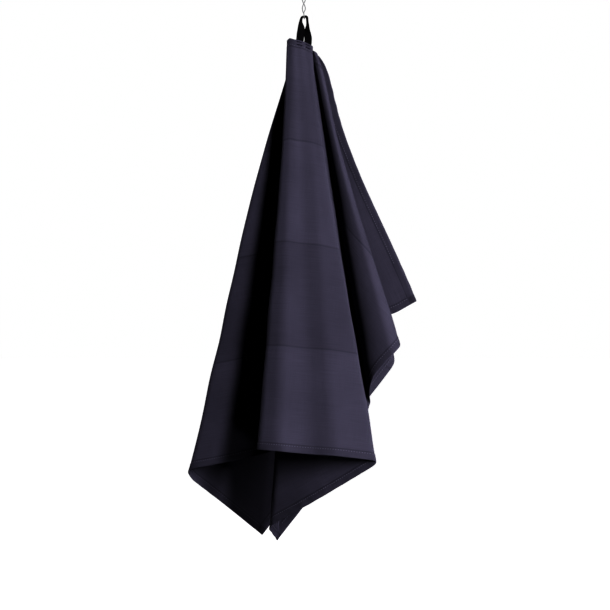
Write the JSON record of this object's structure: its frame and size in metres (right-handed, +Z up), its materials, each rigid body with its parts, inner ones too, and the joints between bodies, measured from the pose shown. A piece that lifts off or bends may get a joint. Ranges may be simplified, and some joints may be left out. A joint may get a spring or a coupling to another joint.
{
  "type": "tea towel on a wire hook",
  "caption": "Cotton tea towel hanging in long folds from the middle of one edge, held by a tape loop on a twisted wire hook with an eye at the top.",
  "frame": {"origin": "top of the hook's eye, the point that the hook is held by", "axes": "+Z up against the hang, -Y out of the towel's broad front fold towards a person facing it, +X to that person's right"},
  "size_m": [0.2772, 0.2486, 0.67],
  "materials": {
    "cotton": "matte woven cotton, tone-on-tone bands",
    "tape": "matte ribbed tape",
    "steel_wire": "bright drawn wire"
  },
  "bodies": {
    "root": {"towel": "cotton", "hanging_loop": "tape", "wire_hook": "steel_wire"}
  },
  "joints": []
}
